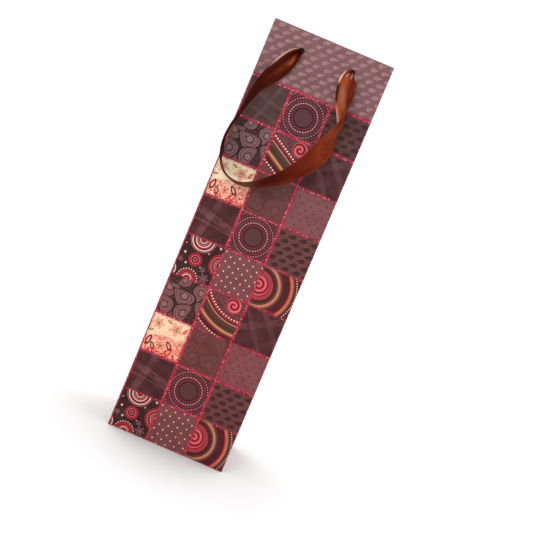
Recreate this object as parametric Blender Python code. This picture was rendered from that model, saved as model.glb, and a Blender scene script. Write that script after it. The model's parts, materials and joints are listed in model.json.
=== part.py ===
"""A paper wine gift bag with ribbon handles.

Metres, +Z up. The origin is the middle of the bag's footprint, on the surface that it stands on.
The front panel faces -Y. One printed sheet is folded into the bag: it is modelled panel by panel,
split at its creases. Two cards stiffen the mouth, a loose board covers the bottom, and a ribbon
handle hangs from two punched holes at the front and at the back, knotted inside.
"""

import math

import bmesh
import bpy
from mathutils import Matrix, Vector

# The bag.
WIDTH = 0.100
DEPTH = 0.090
HEIGHT = 0.350
PAPER = 0.0004
GAP = 0.0003
GUSSET_TUCK = 0.0010  # how far a gusset's middle crease is pulled in

# The mouth: a hem turned in all round, and a card under it at the front and the back.
HEM_DEPTH = 0.040
CARD_THICKNESS = 0.0010
CARD_WIDTH = 0.094
CARD_DEPTH = 0.036
HOLE_SPACING = 0.0432
HOLE_BELOW_RIM = 0.016
HOLE_RADIUS = 0.00275

# The bottom: two side flaps under the base board, then the front and back flaps, which overlap.
LONG_FLAP = 0.060
SIDE_FLAP = 0.040
FLAP_MITRE = 0.012
BOARD_THICKNESS = 0.0012
BOARD_WIDTH = 0.0950
BOARD_DEPTH = 0.0860
SEAM_TAB_WIDTH = 0.015

# The ribbon handles.
RIBBON_WIDTH = 0.016
RIBBON_THICKNESS = 0.0008
GATHERED_THICKNESS = 0.0022  # where the ribbon is pleated into its hole
AXIS_STAND_OFF = 0.003  # the handle swings about a line this far in front of the panel
NECK_RADIUS = 0.0023
KNOT_RADIUS = 0.0056
KNOT_DEPTH = 0.0042
TAIL_WIDTH = 0.0104
TAIL_LENGTH = 0.017
STEPS_PER_STATION = 3
CELLS_ACROSS = 4  # a twisted strip needs several flat cells across its width

# The front ribbon's route from its left hole to its right hole, in millimetres: to the right of the
# bag's middle, below the holes, in front of the panel; then how far its width is turned out of the
# panel's plane, in degrees, and the width that its pleats leave.
RIBBON_ROUTE = (
    (-21.6, 0.0, 3.0, 0, 4.2),
    (-23.6, 4.6, 3.0, 2, 7.5),
    (-26.4, 10.0, 3.0, 6, 11.5),
    (-30.0, 16.2, 3.4, 14, 13.5),
    (-34.0, 23.0, 4.8, 30, 14.5),
    (-38.0, 31.0, 7.4, 52, 15.5),
    (-41.4, 39.0, 8.8, 65, 16.0),
    (-44.3, 50.0, 9.4, 74, 16.0),
    (-46.8, 62.0, 9.8, 82, 16.0),
    (-49.2, 73.0, 10.0, 85, 16.0),
    (-50.0, 83.0, 10.0, 86, 16.0),
    (-48.8, 92.5, 10.0, 86, 16.0),
    (-45.8, 101.5, 10.0, 86, 16.0),
    (-40.2, 108.5, 10.0, 86, 16.0),
    (-32.5, 111.9, 10.0, 85, 16.0),
    (-24.5, 112.0, 10.0, 82, 16.0),
    (-15.5, 108.6, 10.2, 76, 16.0),
    (-6.5, 103.0, 10.4, 65, 16.0),
    (2.6, 95.6, 10.6, 54, 16.0),
    (10.4, 87.0, 10.2, 40, 16.0),
    (17.6, 78.0, 9.2, 22, 16.0),
    (23.4, 69.4, 8.6, 4, 16.0),
    (27.0, 60.6, 8.8, -26, 16.0),
    (28.3, 52.4, 9.4, -56, 16.0),
    (28.1, 44.8, 9.8, -76, 16.0),
    (27.0, 38.6, 9.8, -98, 16.0),
    (25.6, 32.4, 9.0, -124, 16.0),
    (24.2, 25.6, 7.4, -146, 16.0),
    (22.7, 18.6, 5.0, -168, 16.0),
    (21.3, 12.4, 4.0, -174, 14.8),
    (20.7, 7.0, 3.2, -178, 12.4),
    (21.0, 3.0, 3.0, -180, 8.0),
    (21.6, 0.0, 3.0, -180, 4.2),
)

RIM_Z = HEIGHT
HOLE_Z = HEIGHT - HOLE_BELOW_RIM
FRONT_Y = -DEPTH / 2
CARD_OUTER = DEPTH / 2 - PAPER - GAP
HEM_OUTER = CARD_OUTER - CARD_THICKNESS - GAP
GUSSET_FRONT_EDGE = DEPTH / 2 - PAPER - GAP
FLAP_LEVELS = [level * (PAPER + GAP) for level in range(4)]

PARTS = "wine_gift_bag"
CUTTERS = "cutters"


def clear_scene():
    """Removes every object, so that the script can be run again."""
    for item in list(bpy.data.objects):
        bpy.data.objects.remove(item, do_unlink=True)


def collection(name):
    """The collection of this name, made if there is none."""
    found = bpy.data.collections.get(name)
    if found is None:
        found = bpy.data.collections.new(name)
        bpy.context.scene.collection.children.link(found)
    return found


def material(name, colour, roughness):
    """A plain surface: everything here is paper, card or ribbon, so nothing is metallic."""
    made = bpy.data.materials.get(name) or bpy.data.materials.new(name)
    made.use_nodes = True
    shader = made.node_tree.nodes["Principled BSDF"]
    shader.inputs["Base Color"].default_value = (*colour, 1.0)
    shader.inputs["Roughness"].default_value = roughness
    shader.inputs["Metallic"].default_value = 0.0
    return made


def add_object(name, mesh, surface, group=PARTS):
    """Puts a mesh in the scene as an object of its own."""
    made = bpy.data.objects.new(name, mesh)
    collection(group).objects.link(made)
    if surface is not None:
        mesh.materials.append(surface)
    return made


def mesh_from(name, shape):
    """Turns a bmesh into a mesh with its faces pointing out."""
    bmesh.ops.recalc_face_normals(shape, faces=shape.faces)
    mesh = bpy.data.meshes.new(name)
    shape.to_mesh(mesh)
    shape.free()
    return mesh


def plate(name, low, high, surface):
    """A flat panel between two corners."""
    low = Vector(low)
    high = Vector(high)
    size = high - low
    shape = bmesh.new()
    place = Matrix.Translation((low + high) / 2) @ Matrix.Diagonal((*size, 1.0))
    bmesh.ops.create_cube(shape, size=1.0, matrix=place)
    return add_object(name, mesh_from(name, shape), surface)


def flat_outline(name, points, bottom, thickness, surface):
    """A card or flap lying flat: its outline in X and Y, raised by its thickness."""
    shape = bmesh.new()
    corners = [shape.verts.new((x, y, bottom)) for x, y in points]
    face = shape.faces.new(corners)
    grown = bmesh.ops.extrude_face_region(shape, geom=[face])
    raised = [part for part in grown["geom"] if isinstance(part, bmesh.types.BMVert)]
    bmesh.ops.translate(shape, verts=raised, vec=(0.0, 0.0, thickness))
    return add_object(name, mesh_from(name, shape), surface)


def upright_sheet(name, start, end, low_z, high_z, inward, surface):
    """A sheet standing on the line from start to end, thickened inward by the paper."""
    shape = bmesh.new()
    corners = [
        shape.verts.new((*start, low_z)),
        shape.verts.new((*end, low_z)),
        shape.verts.new((*end, high_z)),
        shape.verts.new((*start, high_z)),
    ]
    face = shape.faces.new(corners)
    grown = bmesh.ops.extrude_face_region(shape, geom=[face])
    moved = [part for part in grown["geom"] if isinstance(part, bmesh.types.BMVert)]
    bmesh.ops.translate(shape, verts=moved, vec=Vector((*inward, 0.0)) * PAPER)
    return add_object(name, mesh_from(name, shape), surface)


def hole_cutter(side, name):
    """Two long pins where the ribbon's holes go through one side of the mouth."""
    shape = bmesh.new()
    for x in (-HOLE_SPACING / 2, HOLE_SPACING / 2):
        place = Matrix.Translation((x, side * (DEPTH / 2 - 0.002), HOLE_Z))
        place = place @ Matrix.Rotation(math.radians(90), 4, "X")
        bmesh.ops.create_cone(
            shape,
            cap_ends=True,
            segments=20,
            radius1=HOLE_RADIUS,
            radius2=HOLE_RADIUS,
            depth=0.012,
            matrix=place,
        )
    cutter = add_object(name, mesh_from(name, shape), None, CUTTERS)
    cutter.display_type = "WIRE"
    cutter.hide_render = True
    return cutter


def combine(target, other, operation):
    """A Boolean that stays on the object."""
    step = target.modifiers.new(other.name, "BOOLEAN")
    step.operation = operation
    step.object = other
    step.solver = "EXACT"


def make_panels(paper, cutters):
    """The front and the back, each a flat sheet with two punched holes."""
    for side, name in ((-1, "front"), (1, "back")):
        outer = side * DEPTH / 2
        inner = side * (DEPTH / 2 - PAPER)
        panel = plate(
            name + "_panel",
            (-WIDTH / 2, min(outer, inner), 0.0),
            (WIDTH / 2, max(outer, inner), RIM_Z),
            paper,
        )
        combine(panel, cutters[side], "DIFFERENCE")


def gusset_line(across, along, inset, edge):
    """The two ends of one half of a gusset, seen from above, set in from the bag's side."""
    outer_x = across * (WIDTH / 2 - inset)
    crease_x = across * (WIDTH / 2 - inset - GUSSET_TUCK)
    return (outer_x, along * edge), (crease_x, along * GAP / 2)


def make_gussets(paper):
    """Each side is two sheets that meet at the crease down its middle, with a hem inside each."""
    for across, side in ((-1, "left"), (1, "right")):
        for along, half, row in ((-1, "front", "front"), (1, "rear", "rear")):
            start, end = gusset_line(across, along, 0.0, GUSSET_FRONT_EDGE)
            upright_sheet(
                f"{side}_gusset_{half}", start, end, 0.0, RIM_Z, (-across, 0.0), paper
            )
            start, end = gusset_line(
                across, along, PAPER + GAP, HEM_OUTER - PAPER - GAP
            )
            upright_sheet(
                f"{side}_{row}_top_hem",
                start,
                end,
                RIM_Z - HEM_DEPTH,
                RIM_Z - PAPER,
                (-across, 0.0),
                paper,
            )


def make_seam_tab(paper):
    """The glued edge of the sheet, inside the back panel beside the left gusset."""
    outer = DEPTH / 2 - PAPER - GAP
    left = -WIDTH / 2 + GUSSET_TUCK + 2 * PAPER + GAP
    plate(
        "side_seam_tab",
        (left, outer - PAPER, 0.004),
        (left + SEAM_TAB_WIDTH, outer, RIM_Z - HEM_DEPTH - 0.001),
        paper,
    )


def make_mouth(paper, card, cutters):
    """The hem of the front and of the back, and the card that each one covers."""
    hem_width = WIDTH - 2 * (PAPER + GAP) - 2 * GUSSET_TUCK
    for side, name in ((-1, "front"), (1, "back")):
        card_faces = sorted((side * CARD_OUTER, side * (CARD_OUTER - CARD_THICKNESS)))
        stiffener = plate(
            name + "_hem_card",
            (-CARD_WIDTH / 2, card_faces[0], RIM_Z - PAPER - GAP - CARD_DEPTH),
            (CARD_WIDTH / 2, card_faces[1], RIM_Z - PAPER - GAP),
            card,
        )
        combine(stiffener, cutters[side], "DIFFERENCE")
        hem_faces = sorted((side * HEM_OUTER, side * (HEM_OUTER - PAPER)))
        hem = plate(
            name + "_top_hem",
            (-hem_width / 2, hem_faces[0], RIM_Z - HEM_DEPTH),
            (hem_width / 2, hem_faces[1], RIM_Z - PAPER),
            paper,
        )
        combine(hem, cutters[side], "DIFFERENCE")


def make_bottom(paper, board):
    """Four flaps, the outermost on the ground, and the loose board that lies on them."""
    half_width = WIDTH / 2 - PAPER - GAP - GUSSET_TUCK
    half_depth = DEPTH / 2 - PAPER - GAP
    for side, name, level in ((1, "back", 0), (-1, "front", 1)):
        free = side * (half_depth - LONG_FLAP)
        crease = side * half_depth
        outline = (
            (-half_width, crease),
            (-half_width, free + side * FLAP_MITRE),
            (-half_width + FLAP_MITRE, free),
            (half_width - FLAP_MITRE, free),
            (half_width, free + side * FLAP_MITRE),
            (half_width, crease),
        )
        flat_outline(name + "_bottom_flap", outline, FLAP_LEVELS[level], PAPER, paper)
    for side, name in ((-1, "left"), (1, "right")):
        crease = side * half_width
        free = side * (half_width - SIDE_FLAP)
        mitre = 2 * FLAP_MITRE
        outline = (
            (crease, -half_depth),
            (free, -half_depth + mitre),
            (free, half_depth - mitre),
            (crease, half_depth),
        )
        flat_outline(name + "_bottom_flap", outline, FLAP_LEVELS[2], PAPER, paper)
    plate(
        "base_board",
        (-BOARD_WIDTH / 2, -BOARD_DEPTH / 2, FLAP_LEVELS[3]),
        (BOARD_WIDTH / 2, BOARD_DEPTH / 2, FLAP_LEVELS[3] + BOARD_THICKNESS),
        board,
    )


def between(values, step, share):
    """A smooth curve through a row of values: the one at a share of the way after a step."""
    last = len(values) - 1
    a, b, c, d = (values[min(max(step + k, 0), last)] for k in (-1, 0, 1, 2))
    slope_b = (c - a) / 2
    slope_c = (d - b) / 2
    square = share * share
    cube = square * share
    start = (2 * cube - 3 * square + 1) * b + (cube - 2 * square + share) * slope_b
    finish = (3 * square - 2 * cube) * c + (cube - square) * slope_c
    return start + finish


def ribbon_stations():
    """The route, read off a smooth curve at even steps between its own points."""
    columns = list(zip(*RIBBON_ROUTE))
    rows = []
    for step in range(len(RIBBON_ROUTE) - 1):
        for part in range(STEPS_PER_STATION):
            share = part / STEPS_PER_STATION
            rows.append([between(column, step, share) for column in columns])
    rows.append(list(RIBBON_ROUTE[-1]))
    return rows


def ribbon_sections():
    """For each station: the ribbon's middle, its width and its thickness as vectors."""
    rows = ribbon_stations()
    middles = []
    for right, below, front, _, _ in rows:
        middles.append(
            Vector((right * 0.001, FRONT_Y - front * 0.001, HOLE_Z - below * 0.001))
        )
    sections = []
    for index, row in enumerate(rows):
        before = middles[max(index - 1, 0)]
        after = middles[min(index + 1, len(middles) - 1)]
        along = (after - before).normalized()
        in_plane = Vector((along.z, 0.0, -along.x)).normalized()
        turn = math.radians(row[3])
        across = in_plane * math.cos(turn) + Vector((0.0, -math.sin(turn), 0.0))
        across = (across - along * across.dot(along)).normalized()
        through = along.cross(across).normalized()
        width = row[4] * 0.001
        gathered = max(0.0, 1.0 - (width - 0.0042) / 0.006)
        thick = RIBBON_THICKNESS + gathered * (GATHERED_THICKNESS - RIBBON_THICKNESS)
        sections.append((middles[index], across * width / 2, through * thick / 2))
    return sections


def ribbon_ring(shape, middle, half_width, half_thick):
    """One cross-section: its points across one face, then back across the other."""
    across = [2.0 * cell / CELLS_ACROSS - 1.0 for cell in range(CELLS_ACROSS + 1)]
    one_face = [middle + half_width * share - half_thick for share in across]
    other_face = [middle + half_width * share + half_thick for share in across]
    return [shape.verts.new(point) for point in one_face + other_face[::-1]]


def ribbon_mesh(name):
    """A flat strip lofted along the route, closed at both ends."""
    shape = bmesh.new()
    rings = [ribbon_ring(shape, *section) for section in ribbon_sections()]
    count = len(rings[0])
    for one, two in zip(rings, rings[1:]):
        for corner in range(count):
            following = (corner + 1) % count
            quad = (one[corner], one[following], two[following], two[corner])
            if corner < CELLS_ACROSS:  # both faces are split along the same diagonals
                shape.faces.new((quad[0], quad[1], quad[2]))
                shape.faces.new((quad[0], quad[2], quad[3]))
            else:
                shape.faces.new((quad[0], quad[1], quad[3]))
                shape.faces.new((quad[1], quad[2], quad[3]))
    for ring in (rings[0], rings[-1]):
        for cell in range(CELLS_ACROSS):
            opposite = count - 1 - cell
            shape.faces.new(
                (ring[cell], ring[cell + 1], ring[opposite - 1], ring[opposite])
            )
    return mesh_from(name, shape)


def make_handles(ribbon):
    """Each handle's origin is on its swing axis, the line through its two holes."""
    axis = Vector((0.0, FRONT_Y - AXIS_STAND_OFF, HOLE_Z))
    mesh = ribbon_mesh("handle")
    mesh.transform(Matrix.Translation(-axis))
    front = add_object("front_handle", mesh, ribbon)
    front.location = axis
    back = add_object("back_handle", mesh.copy(), None)
    back.location = (-axis.x, -axis.y, axis.z)
    back.rotation_euler = (0.0, 0.0, math.pi)


def knot_body(name, ribbon):
    """The lump of a knot, for the front left hole, about its own middle."""
    shape = bmesh.new()
    scale = Matrix.Diagonal((KNOT_RADIUS, KNOT_DEPTH, KNOT_RADIUS, 1.0))
    bmesh.ops.create_uvsphere(
        shape, u_segments=14, v_segments=9, radius=1.0, matrix=scale
    )
    return add_object(name, mesh_from(name, shape), ribbon)


def knot_extras(neck_length):
    """What joins a knot's lump: the neck through the hole, and the tail that hangs inside."""
    shape = bmesh.new()
    place = Matrix.Translation((0.0, -neck_length / 2, 0.0))
    place = place @ Matrix.Rotation(math.radians(90), 4, "X")
    bmesh.ops.create_cone(
        shape,
        cap_ends=True,
        segments=14,
        radius1=NECK_RADIUS,
        radius2=NECK_RADIUS,
        depth=neck_length,
        matrix=place,
    )
    neck = add_object("knot_neck", mesh_from("knot_neck", shape), None, CUTTERS)
    shape = bmesh.new()
    top = -KNOT_RADIUS / 2
    size = (TAIL_WIDTH, RIBBON_THICKNESS, TAIL_LENGTH, 1.0)
    place = Matrix.Translation((0.0, 0.0, top - TAIL_LENGTH / 2)) @ Matrix.Diagonal(size)
    bmesh.ops.create_cube(shape, size=1.0, matrix=place)
    tail = add_object("knot_tail", mesh_from("knot_tail", shape), None, CUTTERS)
    for extra in (neck, tail):
        extra.display_type = "WIRE"
        extra.hide_render = True
    return neck, tail


def make_knots(ribbon):
    """A knot behind each hole, its neck ending just behind the gathered ribbon."""
    knot_y = HEM_OUTER - PAPER - GAP - KNOT_DEPTH
    neck_end = DEPTH / 2 + AXIS_STAND_OFF - GATHERED_THICKNESS / 2 - GAP
    neck, tail = knot_extras(neck_end - knot_y)
    for side, name in ((-1, "front"), (1, "back")):
        for x, which in ((-HOLE_SPACING / 2, "left"), (HOLE_SPACING / 2, "right")):
            place = Matrix.Translation((x, side * knot_y, HOLE_Z))
            if side > 0:
                place = place @ Matrix.Rotation(math.pi, 4, "Z")
            knot = knot_body(f"{name}_{which}_knot", ribbon)
            for extra in (neck, tail):
                copy = bpy.data.objects.new(f"{knot.name}_{extra.name}", extra.data)
                collection(CUTTERS).objects.link(copy)
                copy.display_type = "WIRE"
                copy.hide_render = True
                copy.matrix_world = place
                combine(knot, copy, "UNION")
            knot.matrix_world = place


def main():
    clear_scene()
    paper = material("printed_paper", (0.27, 0.12, 0.13), 0.42)
    card = material("hem_card", (0.62, 0.60, 0.56), 0.85)
    board = material("base_board", (0.50, 0.47, 0.42), 0.88)
    ribbon = material("ribbon", (0.28, 0.09, 0.035), 0.38)
    cutters = {-1: hole_cutter(-1, "front_holes"), 1: hole_cutter(1, "back_holes")}
    make_panels(paper, cutters)
    make_gussets(paper)
    make_seam_tab(paper)
    make_mouth(paper, card, cutters)
    make_bottom(paper, board)
    make_handles(ribbon)
    make_knots(ribbon)


main()
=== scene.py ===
"""The looks of a tall paper wine gift bag: printed walls, hem, cards, knots and satin ribbons.

The frame is the CAD model's: the bag stands on z = 0 and its front faces -Y. On the printed
sheet, u runs to the right along each wall as seen from outside, and v runs down from the rim.
"""

import json
from bisect import bisect_left, bisect_right
from functools import partialmethod
from math import copysign, cos, hypot, pi, radians, sin, sqrt, tau

import bmesh
import bpy
from mathutils import Matrix, Vector, noise


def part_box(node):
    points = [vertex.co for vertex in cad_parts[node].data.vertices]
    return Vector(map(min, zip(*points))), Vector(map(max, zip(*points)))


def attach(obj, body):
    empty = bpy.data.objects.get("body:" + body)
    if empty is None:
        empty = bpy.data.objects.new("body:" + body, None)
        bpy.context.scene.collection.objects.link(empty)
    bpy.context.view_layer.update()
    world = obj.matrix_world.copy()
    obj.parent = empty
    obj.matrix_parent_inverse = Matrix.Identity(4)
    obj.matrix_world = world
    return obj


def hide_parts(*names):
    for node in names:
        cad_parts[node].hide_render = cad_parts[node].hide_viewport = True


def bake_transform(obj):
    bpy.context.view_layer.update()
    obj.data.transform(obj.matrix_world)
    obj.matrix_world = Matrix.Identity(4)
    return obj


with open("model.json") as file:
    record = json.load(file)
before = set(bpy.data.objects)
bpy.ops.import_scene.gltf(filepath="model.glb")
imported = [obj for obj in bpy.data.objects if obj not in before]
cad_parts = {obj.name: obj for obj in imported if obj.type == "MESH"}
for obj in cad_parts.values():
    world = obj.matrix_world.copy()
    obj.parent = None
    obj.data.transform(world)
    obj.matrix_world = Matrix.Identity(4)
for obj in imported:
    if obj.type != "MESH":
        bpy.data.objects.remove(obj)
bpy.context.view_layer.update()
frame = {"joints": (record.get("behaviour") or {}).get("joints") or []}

MM = 0.001
X, Y, Z = Vector((1, 0, 0)), Vector((0, 1, 0)), Vector((0, 0, 1))

# ---- what the CAD model says ----


def corner_mm(node, end):
    """The lowest (0) or highest (1) corner of a CAD node's box, in millimetres."""
    return Vector(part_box(node)[end]) / MM


HALF_WIDTH = corner_mm("front_panel", 1).x
HALF_DEPTH = corner_mm("back_panel", 1).y
RIM = corner_mm("front_panel", 1).z
HEM_END = corner_mm("front_top_hem", 0).z
CARD_LOW = corner_mm("front_hem_card", 0).z
LONG_FLAP = HALF_DEPTH + corner_mm("front_bottom_flap", 1).y
SIDE_FLAP = HALF_WIDTH + corner_mm("left_bottom_flap", 1).x
HOLE_X = (corner_mm("front_right_knot", 0).x + corner_mm("front_right_knot", 1).x) / 2
SWING = Vector(next(j["pos_m"] for j in frame["joints"] if j["name"] == "front_handle_swing"))
HOLE_Z = SWING.z / MM
HOLE_BELOW = RIM - HOLE_Z
HOLE_RADIUS = 2.75

# How far a wall's hem stands inside its outer face, at the front and back and at the gussets.
FRONT_ROLL = HALF_DEPTH + corner_mm("front_top_hem", 1).y
SIDE_ROLL = 1.1

# ---- camera ----

CAMERA_PLACE = (0.040, -1.1434, 0.323)
CAMERA_LENS = 91.9
CAMERA_PAN, CAMERA_TILT, CAMERA_ROLL = (radians(a) for a in (0.65, 90 - 8.18, 23.01))


def add_object(name, data):
    thing = bpy.data.objects.new(name, data)
    bpy.context.scene.collection.objects.link(thing)
    return thing


camera = add_object("camera", bpy.data.cameras.new("camera"))
camera.data.lens = CAMERA_LENS
camera.data.sensor_width = 36
camera.data.clip_end = 50
camera.matrix_world = (
    Matrix.Translation(CAMERA_PLACE)
    @ Matrix.Rotation(CAMERA_PAN, 4, "Z")
    @ Matrix.Rotation(CAMERA_TILT, 4, "X")
    @ Matrix.Rotation(CAMERA_ROLL, 4, "Z")
)
bpy.context.scene.camera = camera

# ---- small tools ----

SHARP_ANGLE = radians(50)


def mix(a, b, t):
    return a + (b - a) * t


def ease(low, high, value):
    t = min(1.0, max(0.0, (value - low) / (high - low)))
    return t * t * (3 - 2 * t)


def direction(points, i):
    """Which way a line of points runs at one of them."""
    return (points[min(i + 1, len(points) - 1)] - points[max(i - 1, 0)]).normalized()


def square_to(along, vector):
    """The direction of what a vector has at right angles to another."""
    return (vector - along * vector.dot(along)).normalized()


def add_piece(name, bm, materials=()):
    """A mesh object from bm, which is freed. All of its faces are smooth."""
    mesh = bpy.data.meshes.new(name)
    bm.to_mesh(mesh)
    bm.free()
    mesh.shade_smooth()
    for material in materials:
        mesh.materials.append(material)
    return add_object(name, mesh)


def thicken(piece, thickness, offset, backing):
    """Gives a sheet its thickness. backing is the material slot of its back and cut edges."""
    solid = piece.modifiers.new("thickness", "SOLIDIFY")
    solid.thickness = thickness * MM
    solid.offset = offset
    solid.use_quality_normals = True
    solid.material_offset = solid.material_offset_rim = backing
    evaluated = piece.evaluated_get(bpy.context.evaluated_depsgraph_get())
    mesh = bpy.data.meshes.new_from_object(evaluated)
    piece.modifiers.clear()
    old, piece.data = piece.data, mesh
    bpy.data.meshes.remove(old)
    mesh.name = piece.name
    mesh.set_sharp_from_angle(angle=SHARP_ANGLE)
    return piece


# ---- ribbon handles ----

RIBBON_WIDTH = 16
RIBBON_THICKNESS = 0.35
RIBBON_CELLS = 36
PLEATS = 3
STEPS_PER_STATION = 6
HANDLE_SEED, KNOT_SEED = 3, 5

# The front handle's middle line from its left hole to its right one, with the front panel as the
# zero: mm to the right, mm below the holes, mm in front of the panel, turn in degrees, width in
# mm, and how far the middle of its section bulges. The ends are inside the punched holes.
HANDLE_ROUTE = (
    (-21.6, 0, -3.4, 0, 3.6, 0), (-21.6, -0.2, -0.6, 0, 3.7, 0), (-21.7, -0.1, 1.5, 0, 4.4, 0),
    (-22.5, 1.1, 3, 1, 6.6, 0.2), (-24.3, 3.9, 3.6, 2, 9.8, 0.5),
    (-27, 9, 3.7, 6, 13.2, 0.6), (-30.2, 15.8, 3.9, 14, 14.8, 0.6),
    (-34, 23, 4.8, 30, 15.2, 0.6), (-38, 31, 7.4, 50, 15.8, 0.6),
    (-41.4, 39, 8.8, 66, 16, 0.6), (-44.3, 50, 9.4, 77, 16, 0.6),
    (-46.8, 62, 9.8, 84, 16, 0.5), (-49.2, 73, 10, 87, 16, 0.5),
    (-50, 83, 10, 88, 16, 0.5), (-48.8, 92.5, 10, 88, 16, 0.5),
    (-45.8, 101.5, 10, 90, 16, 0.5), (-40.2, 108.5, 10, 92, 16, 0.4),
    (-32.5, 111.9, 10, 91, 16, 0.3), (-24.5, 112, 10, 85, 16, 0.4),
    (-15.5, 108.6, 10.2, 76, 16, 0.5), (-6.5, 103, 10.4, 65, 16, 0.6),
    (2.6, 95.6, 10.6, 54, 16, 0.8), (10.4, 87, 10.2, 40, 16, 1),
    (17, 78, 9.2, 24, 15.8, 1), (21.6, 69.4, 8.8, 6, 15.6, 0.8),
    (24.2, 60.6, 9, -22, 15.4, 0.2), (25.5, 52.4, 9.4, -48, 14, -2.2),
    (25.9, 45.4, 9.8, -70, 12, -4.4), (25.9, 39, 9.8, -94, 11.2, -5.2),
    (25.4, 32.4, 9.2, -118, 12.6, -4.4), (24.4, 25.4, 7.8, -140, 14.4, -2.6),
    (23, 18.6, 5.8, -160, 15, -1.2), (21.6, 12.4, 4.6, -170, 14.6, -0.6),
    (20.9, 7, 4.2, -175, 13.8, -0.5), (20.8, 3.2, 3.8, -178, 11.2, -0.3),
    (21.3, 0.8, 2.4, -180, 6.8, 0), (21.6, -0.2, -0.4, -180, 3.8, 0),
    (21.6, 0, -3.4, -180, 3.6, 0),
)


def between(a, b, c, d, t):
    """The point at t from b to c on a smooth curve through the four."""
    return 0.5 * (
        2 * b + (c - a) * t + (2 * a - 5 * b + 4 * c - d) * t * t + (3 * b - a - 3 * c + d) * t**3
    )


def refined(rows, steps):
    """The rows with more between them, each number on its own smooth curve."""
    rows = [tuple(map(float, row)) for row in rows]
    fine = []
    for i in range(len(rows) - 1):
        near = [rows[max(0, min(len(rows) - 1, i + k))] for k in (-1, 0, 1, 2)]
        for step in range(steps):
            fine.append(tuple(between(*column, step / steps) for column in zip(*near)))
    return fine + [rows[-1]]


def pleat_height(width, bulge):
    """How high the pleats stand, in mm, for the whole ribbon to fit in a gathered width."""
    taken = width + 8 / 3 * bulge * bulge / width
    return sqrt(max(0, RIBBON_WIDTH**2 - taken**2)) / (4 * PLEATS)


def ribbon_piece(name, middles, acrosses, widths, bulges, seed):
    """A ribbon along a line of points in metres. Its UV map is in mm on the ribbon."""
    bm = bmesh.new()
    uv = bm.loops.layers.uv.new("ribbon")
    rows, lengths, run = [], [], 0
    for i, middle in enumerate(middles):
        along = direction(middles, i)
        across = square_to(along, acrosses[i])
        through = along.cross(across)
        if i:
            run += (middle - middles[i - 1]).length / MM
        width = widths[i]
        height = pleat_height(width, bulges[i])
        loose = ease(8, 15, width)
        row = []
        for k in range(RIBBON_CELLS + 1):
            q = 2 * k / RIBBON_CELLS - 1
            wander = noise.noise((q * 0.7, run / 22, seed)) * 0.5
            ripple = noise.noise((q * 1.6, run / 60, seed + 9)) * 0.2
            # The pleats run out at different lengths, so the middle ones are the last to open.
            fold = sin(PLEATS * pi * q + 0.6 * sin(run / 9 + seed))
            out = height * fold * mix(1, cos(q * pi / 2) ** 0.7, loose * 0.7)
            out += (1 - q * q) * bulges[i] + (wander + ripple) * loose
            row.append(bm.verts.new(middle + (across * (q * width / 2) + through * out) * MM))
        rows.append(row)
        lengths.append(run)
    for i in range(len(rows) - 1):
        for k in range(RIBBON_CELLS):
            corners = ((i, k), (i, k + 1), (i + 1, k + 1), (i + 1, k))
            face = bm.faces.new([rows[a][b] for a, b in corners])
            for loop, (a, b) in zip(face.loops, corners):
                loop[uv].uv = ((b / RIBBON_CELLS - 0.5) * RIBBON_WIDTH, lengths[a])
    return thicken(add_piece(name, bm), RIBBON_THICKNESS, 0, backing=1)


def handle_lines():
    """The front handle's middle points, directions across, widths and bulges."""
    fine = refined(HANDLE_ROUTE, STEPS_PER_STATION)
    middles = [
        Vector((right, -HALF_DEPTH - front, HOLE_Z - below)) * MM
        for right, below, front, *_ in fine
    ]
    acrosses = []
    for i, row in enumerate(fine):
        along = direction(middles, i)
        fallback = -X if i < len(fine) / 2 else X
        straight_out = max(0, abs(along.y) - 0.5) * 2
        in_plane = Vector((along.z, 0, -along.x)) * (1 - straight_out) + fallback * straight_out
        in_plane.normalize()
        angle = radians(row[3])
        acrosses.append(in_plane * cos(angle) - Y * sin(angle))
    return middles, acrosses, [row[4] for row in fine], [row[5] for row in fine]


def half_turn(lines):
    """The same lines on the back: turned half way round the bag's upright axis."""
    middles, acrosses = ([Vector((-p.x, -p.y, p.z)) for p in line] for line in lines[:2])
    return middles, acrosses, *lines[2:]


front_lines = handle_lines()
ribbons = []
for side, lines, sign in (("front", front_lines, -1), ("back", half_turn(front_lines), 1)):
    ribbon = ribbon_piece(f"{side}_ribbon_loop", *lines, HANDLE_SEED)
    middles = lines[0]
    length = sum((b - a).length for a, b in zip(middles, middles[1:]))
    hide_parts(f"{side}_handle")
    hinge = Vector((0, sign * abs(SWING.y), SWING.z))
    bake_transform(ribbon)
    ribbons.append(ribbon)
LOOP_LENGTH = length / MM

# ---- knots ----

# A knot's middle line, about the middle of the inside end of its hole: mm to the right, into the
# bag and up, and the width in mm. Between the two lists it follows a trefoil.
KNOT_START = ((0, -0.8, 0, 3.6), (0, 0.6, -0.2, 3.6))
KNOT_TAIL = (
    (2.6, 6.8, -4, 3.8), (2.7, 5.6, -7.2, 5.4), (1.9, 4.6, -10.8, 8.2), (1, 4.4, -14.4, 9.8),
    (0.6, 5, -18.2, 10.4),
)
KNOT_STEPS = 24
KNOT_START_ANGLE = -8
KNOT_WIDTH = 3.6
KNOT_SCALE = 1.22
KNOT_DEPTH_SCALE = 1.5
KNOT_MIDDLE = 4.2


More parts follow.
